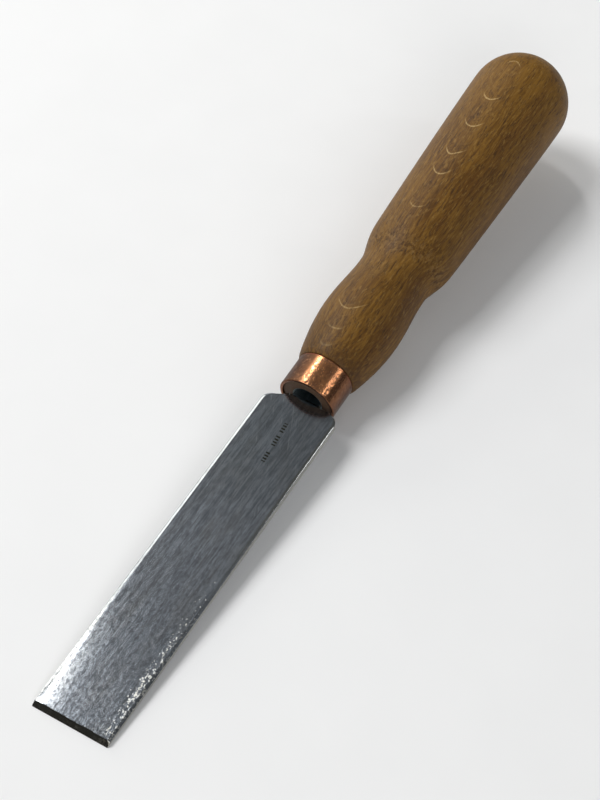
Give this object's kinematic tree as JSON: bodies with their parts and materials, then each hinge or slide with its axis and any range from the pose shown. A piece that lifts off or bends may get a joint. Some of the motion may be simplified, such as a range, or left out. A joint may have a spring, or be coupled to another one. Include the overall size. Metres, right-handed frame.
{
  "type": "bench chisel",
  "caption": "Hand chisel for wood: a flat parallel-sided steel blade with a short cutting bevel, a copper ferrule and a turned, waisted wooden handle with a round butt.",
  "frame": {"origin": "middle of the cutting edge, on the flat back of the blade", "axes": "+Y from the cutting edge along the blade towards the handle, +Z out of the bevelled face of the blade, +X along the cutting edge to the right"},
  "size_m": [0.034, 0.276, 0.0351],
  "materials": {
    "blade_steel": "brushed along the blade, fine scratches, wear near the edges",
    "ferrule_copper": "dull copper with soft highlights and small dents",
    "handle_wood": "oiled open-pored hardwood, satin"
  },
  "bodies": {
    "root": {"blade": "blade_steel", "ferrule": "ferrule_copper", "handle": "handle_wood"}
  },
  "joints": []
}
